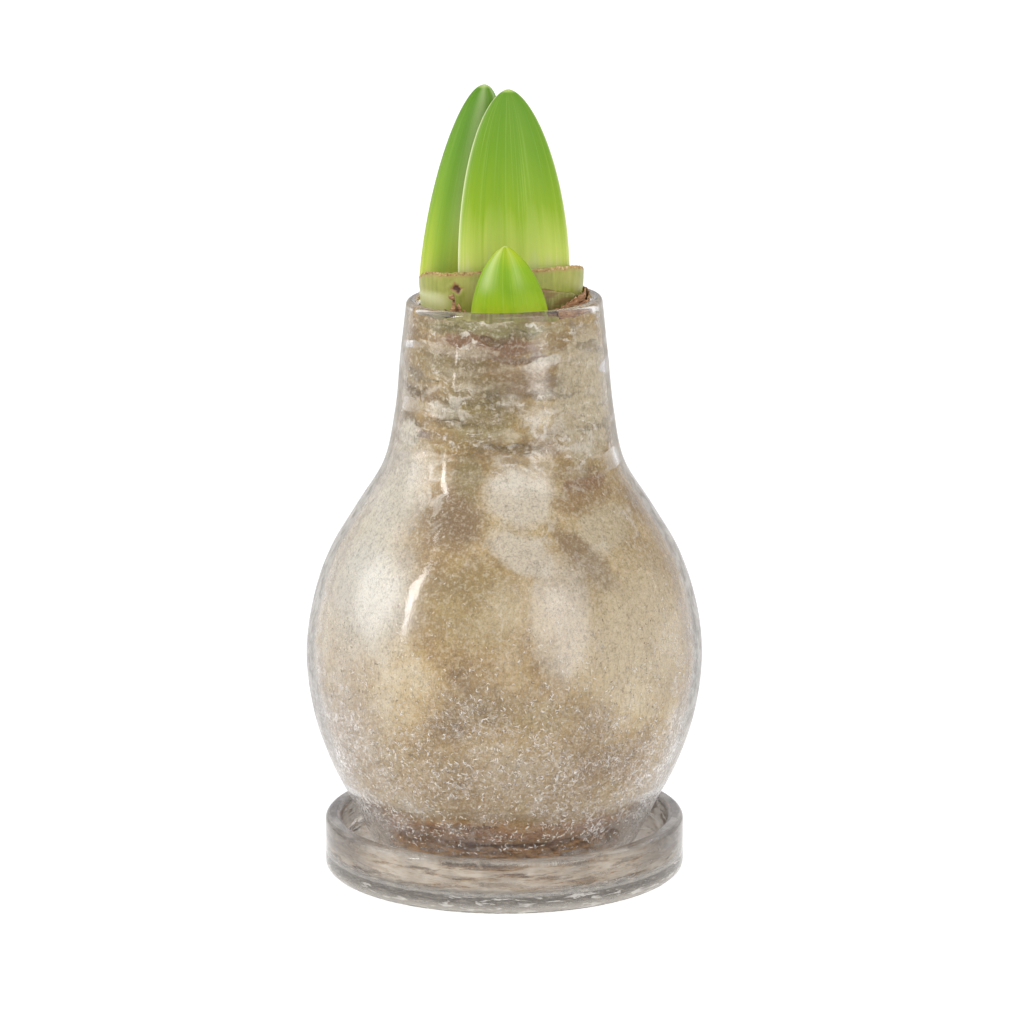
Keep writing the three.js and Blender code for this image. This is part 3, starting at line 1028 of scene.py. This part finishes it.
def cutGreen():
    f = Finish("cutGreen")
    cut, scar, pale = f.attribute("cut"), f.attribute("scar"), f.attribute("pale")
    fibres = f.noise(1.2, 3, 0.6, vector=f.stretched((1, 1, 0.1)))
    shade = f.shades(fibres, [(0.3, "#848934"), (0.5, "#8e933a"), (0.7, "#9b9f45")])
    cloud = f.noise(7, 3)
    stain = f.ramp(cut + f.noise(2.4, 3) * 0.5, 0.75, 1.05)
    rim = f.ramp(cut + f.noise(1.1, 3) * 0.35, 1.08, 1.18)
    crumbs = f.noise(0.9, 3, 0.7)
    rimShade = f.shades(crumbs, [(0.35, "#7a5c34"), (0.55, "#b29260"), (0.7, "#d8c096")])
    shade = f.layered(
        shade,
        (f.ramp(cloud, 0.4, 0.65) * 0.5, "#a9a455"),
        # the folded leaf base: partly its own paler colour, partly painted highlight
        (pale, "#cdcf9f"),
        (stain * 0.5, "#a3884e"),
        (rim, rimShade),
        (f.ramp(scar + cloud * 0.3, 0.15, 0.55), "#a07a4c"),
        (f.ramp(scar + cloud * 0.3, 0.45, 1.05), "#4d2a12"),
    )
    return f.done(f.surface({
        "Base Color": shade,
        "Roughness": f.ramp(rim, 0, 1, 0.38, 0.85),
        "Subsurface Weight": 0.08,
        "Subsurface Radius": (0.6, 1.0, 0.2),
        "Subsurface Scale": 2 * mm,
        "Normal": f.bump(fibres + rim * f.noise(0.7, 2), 0.15),
    }))


def makeCollar():
    foot, top = collar["foot"], collar["top"]
    # the section: 1 is the inside and 2 the outside of the wall
    rows = collar["rows"]
    rise = [foot + (top - foot) * i / rows for i in range(rows + 1)]
    outline = [(2, z) for z in rise[:-1]]
    outline += [(2, top - 0.25), (1.85, top), (1.6, top + 0.08)]
    outline += [(1.4, top + 0.02), (1.15, top), (1, top - 0.25)]
    outline += [(1, z) for z in reversed(rise[:-1])]
    bm = spun(outline, collar["rounds"], closed=True)
    cut = bm.verts.layers.float.new("cut")
    scar = bm.verts.layers.float.new("scar")
    pale = bm.verts.layers.float.new("pale")
    squareness = collar["squareness"]

    def fuller(value):
        return math.copysign(abs(value) ** squareness, value)

    scarAngle, scarHeight = math.radians(collar["scar"][0]), collar["scar"][1]
    for v in bm.verts:
        angle, side, z = polarOf(v)
        side -= 1
        wall = mix(collar["wallFront"], collar["wall"], abs(math.cos(angle)))
        narrower = collar["flare"] * (1 - smoothStep(z, foot, top))
        inset = narrower + wall * (1 - side)
        share = (z - foot) / (top - foot)
        y = collar["centre"][1] + (collar["halfDepth"] - inset) * fuller(math.sin(angle))
        edge = collar["tilt"] * collar["halfWidth"] * math.cos(angle)
        edge -= collar["drop"] * smoothStep(y, collar["dropFrom"], collar["dropTo"])
        edge += collar["unevenness"] * math.sin(3 * angle)
        edge += 0.4 * ripple(polar(angle, 9, 0), 2.2, 2)
        edge += 0.25 * ripple(polar(angle, 20, 0), 1.1, 5)
        across = (angle - scarAngle) * 20
        up = z - scarHeight
        far = abs(across + 0.3 * up) / collar["scarSize"][0] + abs(up) / collar["scarSize"][1]
        far += 0.55 * ripple((across, up, 0), 1.0, 6)
        pit = 1 - smoothStep(far, 0.3, 1.2)
        lip = math.exp(-((far - 1.25) / 0.3) ** 2)
        # a leaf base folded over the left front, below a crease just under the scar; paler, partly
        # painted highlight
        crease = up - 0.08 * abs(across) + collar["creaseDrop"]
        left = smoothStep(-across, 0, 7) * (1 - smoothStep(-across, *collar["lobeWide"]))
        lobe = left * smoothStep(-crease, -1, 3)
        relief = 0.25 * lobe - 0.12 * left * math.exp(-((crease + 0.4) / 0.9) ** 2)
        relief += 0.12 * ripple(polar(angle, 14, z * 0.15), 1.6, 7)
        relief += side * (0.12 * lip - 0.35 * pit)
        inset -= relief * smoothStep(z, foot, foot + 2) * (1 - smoothStep(share, 0.93, 1)) * side
        v[cut] = smoothStep(share, *collar["cutFrom"])
        v[scar] = pit * side if side > 0.5 else 0
        v[pale] = 0.75 * left * smoothStep(-crease, -0.4, 3) * (1 - 0.6 * smoothStep(-crease, 3, 6))
        v.co = Vector((
            collar["centre"][0] + (collar["halfWidth"] - inset) * fuller(math.cos(angle)),
            collar["centre"][1] + (collar["halfDepth"] - inset) * fuller(math.sin(angle)),
            z + edge * smoothStep(share, 0.1, 1),
        )) * mm
    makePiece("leafCollar", bm, [cutGreen()], "cut_leaf_base", "neck_collar")


makeCollar()

# shoots: flattened spears, held in at the foot by the leaf bases round them
# the pale and dark lines up a shoot are painted highlight and painted shade;
# each gives where round it, how wide, from what share of its height and how strong
tipLean = 1.3
shootGrid = dict(rows=120, rounds=120, wide=10)  # turned on a radius of wide, then flattened
shoots = dict(
    mainShoot=dict(
        node="shoot_main", foot=(2.75, -4.1), tip=(1.1, -3.2), top=226.4, half=(15.9, 5.1), turn=8,
        start=174, blunt=0.585, waist=1, hold=(9, 13), ridges=[], pinch=0.2,
        highlightLines=[(180, 11, 0.02, 0.95), (0, 11, 0.02, 0.8)],
        shadeLines=[(-110, 9, 0.3, 0.15), (-50, 12, 0.5, 0.15)],
        greens=("#d6d1a0", "#b2be58", "#7f9d1c", "#688f1b", "#608920"),
    ),
    leftShoot=dict(
        node="shoot_left", foot=(-12.7, 6.6), tip=(-5.6, 6.0), top=226.6, half=(8, 11.7), turn=90,
        start=168, blunt=0.51, waist=0.78, hold=(7.4, 10.4), ridges=[], pinch=0.06,
        highlightLines=[(180, 20, 0.3, 0.25), (240, 10, 0.05, 0.35)], shadeLines=[(150, 22, 0.1, 0.5)],
        greens=("#c4c35f", "#a4b634", "#7da01d", "#649012", "#568410"),
    ),
    frontShoot=dict(
        node="shoot_front", foot=(1.7, -18.5), tip=(0.3, -18.2), top=184.4, half=(11.2, 4.1),
        turn=0, start=160, blunt=0.68, waist=1, hold=(9, 13), ridges=[(-122, 12), (-72, 10)],
        pinch=0.2, highlightLines=[(-134, 18, 0.45, 0.3), (-68, 12, 0.5, 0.12)],
        shadeLines=[(-92, 12, 0.3, 0.25)],
        greens=("#b0bb28", "#8ca70c", "#779806", "#7da008", "#9fb119"),
    ),
)


def shootSkin(name, greens):
    # grain holds the place round the shoot and how far up it is, so the streaks meet at the tip
    f = Finish(name)
    grain = f.attribute("grain", "Vector")
    up = f.node("SeparateXYZ", {}, (grain,), "Z")
    streaks = f.noise(0.045, 3, 0.6, vector=f.stretched((1, 1, 0.045), grain), unit=1)
    broad = f.noise(0.25, 2, 0.5, vector=f.stretched((1, 1, 0.14), grain), unit=1)
    place = up + (broad - 0.5) * 0.36 + (streaks - 0.5) * 0.16
    shade = f.shades(place, list(zip((0.1, 0.27, 0.5, 0.74, 0.95), greens)))
    shade = f.layered(
        shade,
        (f.ramp(streaks, 0.5, 0.75) * 0.2, "#bcd070"),
        (f.ramp(broad, 0.5, 0.32) * 0.22, "#568612"),
        # painted shade and painted highlight lines up the shoot
        (f.attribute("dark"), "#4a7d14"),
        (f.attribute("pale"), "#dfe6b4"),
        (f.ramp(up, 0.982, 0.998) * 0.7, "#c3d384"),
    )
    return f.done(f.surface({
        "Base Color": shade,
        "Roughness": f.ramp(broad, 0.3, 0.7, 0.4, 0.5),
        "Subsurface Weight": 0.08,
        "Subsurface Radius": (0.5, 1.0, 0.1),
        "Subsurface Scale": 3 * mm,
        "Normal": f.bump(streaks, 0.08),
        "Specular IOR Level": 0.22,
    }))


def makeShoot(
    name, node, foot, tip, top, half, turn, start, blunt, waist, hold, ridges, pinch,
    highlightLines, shadeLines, greens,
):
    base, rows, wide = collar["foot"], shootGrid["rows"], shootGrid["wide"]
    outline = [(0, base), (0.5 * waist, base), (waist, base)]
    for i in range(1, rows):
        z = base + (top - base) * math.sin(math.pi / 2 * i / rows)
        held = mix(waist, 1, smoothStep(z - base, *hold))
        along = max(0, (z - start) / (top - start))
        outline.append((held * (1 - along**2) ** blunt, z))
    outline.append((0, top))
    bm = spun([(r * wide, z) for r, z in outline], shootGrid["rounds"])
    grain = bm.verts.layers.float_vector.new("grain")
    # the pale and dark lines are painted highlight and painted shade
    lines = {bm.verts.layers.float.new("pale"): highlightLines, bm.verts.layers.float.new("dark"): shadeLines}
    turned = math.radians(turn)

    def nearness(angle, where, reach):
        off = (math.degrees(angle) - where + 180) % 360 - 180
        return math.exp(-((off / reach) ** 2))

    for v in bm.verts:
        angle, radius, z = polarOf(v)
        radius /= wide
        up = (z - base) / (top - base)
        v[grain] = polar(angle, 1, up)
        for layer, marks in lines.items():
            v[layer] = max(
                strength * nearness(angle, where, reach) * smoothStep(up, low - 0.1, low + 0.15)
                for where, reach, low, strength in marks
            )
        relief = 0.012 * ripple(polar(angle, 5, z / 40), 1.1, len(name))
        for where, reach in ridges:
            relief += 0.035 * nearness(angle, where, reach) * (1 - smoothStep(up, 0.85, 1))
        radius *= 1 + relief * smoothStep(up, 0.02, 0.2)
        moved = max(0, (z - start) / (top - start)) ** tipLean
        across = half[0] * radius * math.cos(angle)
        through = half[1] * radius * math.sin(angle) * abs(math.sin(angle)) ** pinch
        v.co = Vector((
            mix(foot[0], tip[0], moved) + across * math.cos(turned) - through * math.sin(turned),
            mix(foot[1], tip[1], moved) + across * math.sin(turned) + through * math.cos(turned),
            z,
        )) * mm
    faceOutwards(bm)
    makePiece(name, bm, [shootSkin(name + "Skin", greens)], "green_shoot", node)


for name, sizes in shoots.items():
    makeShoot(name, **sizes)

# cut and dried scales: upright arcs round their own centres

scales = dict(
    outerScale=dict(
        node="outer_scale", centre=(-0.8, 3.4), squash=0.74, finish="oliveScale",
        leaves=[dict(radius=24.6, wall=1.1, angles=(-71, -21), top=(172, 168), ragged=0.35)],
    ),
    frontScale=dict(
        node="front_scale", centre=(0, 0), squash=1, finish="oliveScale",
        leaves=[
            dict(radius=24.4, wall=0.5, angles=(-128, -54), top=(165.6, 165.9), ragged=0.6,
                 pointed=0.3),
        ],
    ),
    dryScaleRight=dict(
        node="dry_scale_right", centre=(0.1, 0), squash=1, finish="dryPaper",
        leaves=[
            dict(radius=23.9, wall=0.35, angles=(-53, 58), top=(166.2, 170), ragged=0.7),
            dict(radius=23.2, wall=0.3, angles=(-66, -8), top=(165, 170.4), ragged=0.9),
            dict(radius=22.8, wall=0.3, angles=(-58, -20), top=(166, 169.2), ragged=1.0),
        ],
    ),
    dryScaleLeft=dict(
        node="dry_scale_left", centre=(0, 0), squash=1, finish="dryPaper",
        leaves=[
            dict(radius=21.4, wall=0.3, angles=(231, 236), top=(170.8, 170.2), ragged=0.5,
                 pointed=0.9, lean=-5),
            dict(radius=21.1, wall=0.3, angles=(232, 239), top=(168.4, 167.6), ragged=0.8,
                 pointed=0.9, lean=-3),
            dict(radius=20.8, wall=0.3, angles=(235, 243), top=(166.8, 165.4), ragged=0.8,
                 pointed=0.7, lean=-1),
        ],
    ),
)


def addLeaf(bm, centre, squash, radius, wall, angles, top, ragged, pointed=0, lean=0):
    # a grid bent into an arc, torn along its top and given its thickness
    columns, rows = max(10, round(angles[1] - angles[0])), 12
    sheet = bmesh.new()
    bmesh.ops.create_grid(sheet, x_segments=columns, y_segments=rows, size=0.5)
    foot = skin["top"]
    for v in sheet.verts:
        along, up = v.co.x + 0.5, v.co.y + 0.5
        angle = math.radians(mix(*angles, along) + lean * up)
        torn = ragged * (ripple((along * (angles[1] - angles[0]) / 4, radius, 0), 1.0, 1) - 0.2)
        torn += 0.4 * ragged * ripple((along * (angles[1] - angles[0]) / 1.5, radius, 0), 1.0, 8)
        taper = mix(1, math.sin(math.pi * along) ** 0.8, pointed)
        height = (mix(*top, along) + torn - foot) * taper
        reach = radius + 0.25 * ripple((along * 9, up * 2, radius), 1.2, 4)
        v.co = Vector((
            centre[0] + reach * math.cos(angle),
            centre[1] + reach * squash * math.sin(angle),
            foot + up * height,
        )) * mm
    faceOutwards(sheet)
    bmesh.ops.solidify(sheet, geom=sheet.faces, thickness=wall * mm)
    faceOutwards(sheet)
    bm.from_mesh(meshOf(sheet, "leaf"))


def dryPaper():
    f = Finish("dryPaper")
    fibres = f.noise(0.9, 4, 0.65, vector=f.stretched((0.35, 0.35, 1.8)))
    shade = f.shades(fibres, [
        (0.3, "#5a3822"), (0.45, "#8a5f3c"), (0.6, "#b48c63"), (0.78, "#d6bd9a"),
    ])
    return f.done(f.surface({
        "Base Color": shade,
        "Roughness": f.ramp(fibres, 0.3, 0.7, 0.6, 0.85),
        "Normal": f.bump(fibres, 0.25),
    }))


def oliveScale():
    f = Finish("oliveScale")
    fibres = f.noise(1.3, 3, 0.6, vector=f.stretched((1, 1, 0.15)))
    shade = f.shades(fibres, [(0.3, "#706d33"), (0.5, "#8d8849"), (0.7, "#a8a267")])
    moved = f.height(f.warped(4, 4))
    bands = f.noise(2.6, 3, 0.6, vector=f.stretched((0.25, 0.25, 1)))
    shade = f.layered(
        shade,
        (f.ramp(moved, 169.5, 171.3) * 0.8, "#86623c"),
        (f.ramp(bands, 0.48, 0.6) * 0.7, "#7b5c34"),
        (f.ramp(bands, 0.44, 0.34) * f.ramp(moved, 166, 164) * 0.7, "#bdb276"),
    )
    return f.done(f.surface({
        "Base Color": shade,
        "Roughness": f.ramp(fibres, 0.3, 0.7, 0.45, 0.65),
        "Normal": f.bump(fibres, 0.2),
    }))


scaleFinishes = dict(dryPaper=dryPaper(), oliveScale=oliveScale())
for name, sizes in scales.items():
    bm = bmesh.new()
    for leaf in sizes["leaves"]:
        addLeaf(bm, sizes["centre"], sizes["squash"], **leaf)
    slot = "papery_scale" if sizes["finish"] == "dryPaper" else "cut_leaf_base"
    makePiece(name, bm, [scaleFinishes[sizes["finish"]]], slot, sizes["node"])
